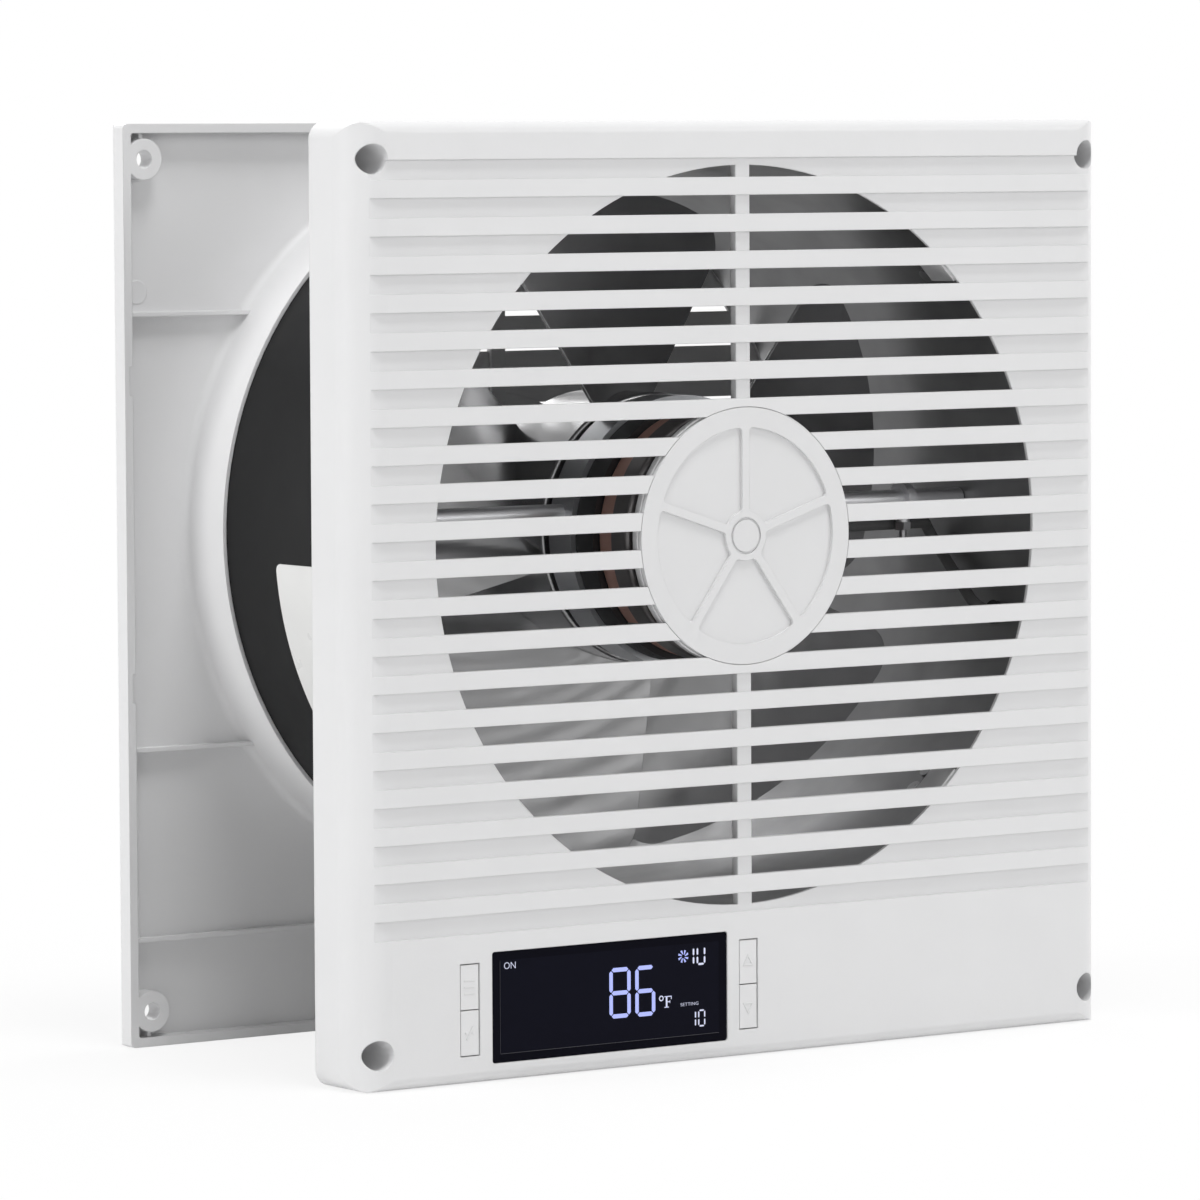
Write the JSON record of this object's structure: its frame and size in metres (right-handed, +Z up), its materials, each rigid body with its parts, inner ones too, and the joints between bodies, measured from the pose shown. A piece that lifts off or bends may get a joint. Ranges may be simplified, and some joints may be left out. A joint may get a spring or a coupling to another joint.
{
  "type": "through-wall room to room fan",
  "caption": "Through-wall fan: louvred front cover with display and buttons, round duct with motor and bladed wheel, and a louvred rear cover that slides on the duct.",
  "frame": {"origin": "middle of the overall box in X and Y, at its bottom", "axes": "+X to the right as seen from the control side, +Z up, the control side faces -Y; the fan axis runs along Y"},
  "size_m": [0.253, 0.1226, 0.255],
  "materials": {
    "white_plastic": "satin white ABS",
    "badge_plastic": "satin white ABS, finer grain",
    "button_plastic": "satin white buttons with raised marks",
    "display_black": "glossy near-black window",
    "display_dark": "dark display module",
    "black_plastic": "black moulded plastic",
    "board_green": "green solder mask",
    "black_paint": "satin black powder coat on steel",
    "label_white": "bare white vinyl label",
    "grey_paint": "grey painted cap",
    "copper": "enamelled copper wire",
    "lamination_steel": "laminated electrical steel",
    "cast_aluminium": "cast aluminium",
    "bright_steel": "bright drawn steel",
    "steel": "zinc plated steel",
    "blade_metal": "grey coated sheet metal",
    "rubber_black": "black rubber",
    "lead_jacket": "dark lead jacket"
  },
  "bodies": {
    "housing": {"front_cover": "white_plastic", "medallion": "badge_plastic", "display_window": "display_black", "lcd_module": "display_dark", "button_switches": "black_plastic", "control_board": "board_green", "power_board": "board_green", "board_screws": "steel", "power_components": "black_plastic", "power_inlet": "black_plastic", "temperature_sensor": "black_plastic", "inner_plate": "white_plastic", "inner_plate_screws": "steel", "lug_screws": "steel", "duct_lugs": "steel", "lug_rivets": "steel", "duct_tube": "black_paint", "duct_label": "label_white", "motor_end_cap": "grey_paint", "motor_windings": "copper", "stator_core": "lamination_steel", "motor_bracket": "cast_aluminium", "motor_bolts": "steel", "front_bearing": "steel", "rear_bearing": "steel", "strut_rods": "bright_steel", "strut_clamps": "bright_steel", "clamp_screws": "steel", "rod_screws": "steel", "lead_grommet": "rubber_black", "motor_lead": "lead_jacket"},
    "rotor": {"motor_shaft": "bright_steel", "rotor_core": "lamination_steel", "fan_hub": "blade_metal", "fan_blades": "blade_metal", "hub_screws": "steel", "shaft_nut": "steel"},
    "rear_cover": {"rear_plate": "white_plastic", "rear_medallion": "badge_plastic"},
    "menu_button": {"button_menu": "button_plastic"},
    "mode_button": {"button_mode": "button_plastic"},
    "up_button": {"button_up": "button_plastic"},
    "down_button": {"button_down": "button_plastic"}
  },
  "joints": [
    {"name": "fan_spin", "type": "hinge", "parent": "housing", "child": "rotor", "pos_m": [0, 0, 0.1424], "axis": [0, 1, 0], "continuous": true},
    {"name": "rear_cover_slide", "type": "slide", "parent": "housing", "child": "rear_cover", "axis": [0, 1, 0], "range_m": [0, 0.012]},
    {"name": "menu_button_press", "type": "slide", "parent": "housing", "child": "menu_button", "axis": [0, 1, 0], "range_m": [0, 0.001], "stiffness_N_per_m": 1200},
    {"name": "mode_button_press", "type": "slide", "parent": "housing", "child": "mode_button", "axis": [0, 1, 0], "range_m": [0, 0.001], "stiffness_N_per_m": 1200},
    {"name": "up_button_press", "type": "slide", "parent": "housing", "child": "up_button", "axis": [0, 1, 0], "range_m": [0, 0.001], "stiffness_N_per_m": 1200},
    {"name": "down_button_press", "type": "slide", "parent": "housing", "child": "down_button", "axis": [0, 1, 0], "range_m": [0, 0.001], "stiffness_N_per_m": 1200}
  ]
}
